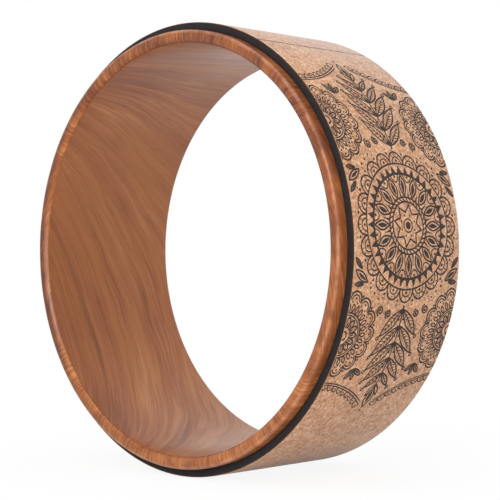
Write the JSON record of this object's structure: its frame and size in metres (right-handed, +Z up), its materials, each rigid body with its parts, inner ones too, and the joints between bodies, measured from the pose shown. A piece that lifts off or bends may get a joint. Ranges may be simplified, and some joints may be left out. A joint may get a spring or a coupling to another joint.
{
  "type": "yoga wheel",
  "caption": "Hollow round exercise wheel: a rigid wood-grain hoop with softened lips, wrapped by a foam pad faced with printed cork, to lie back on, roll and stretch over.",
  "frame": {"origin": "centre of the wheel: on its axis, midway between the two lips", "axes": "+Y along the wheel's axis, +Z up, so the wheel stands on its tread at its lowest point; the picture looks from -Y and +X"},
  "size_m": [0.33, 0.131, 0.33],
  "materials": {
    "wood_grain_hoop": "satin",
    "foam": "matte",
    "adhesive_film": "matte",
    "cork": "matte",
    "print_ink": "matte"
  },
  "bodies": {
    "root": {"hoop": "wood_grain_hoop", "pad_backing_film": "adhesive_film", "foam_pad": "foam", "cork_bonding_film": "adhesive_film", "cork_cover": "cork"}
  },
  "joints": []
}
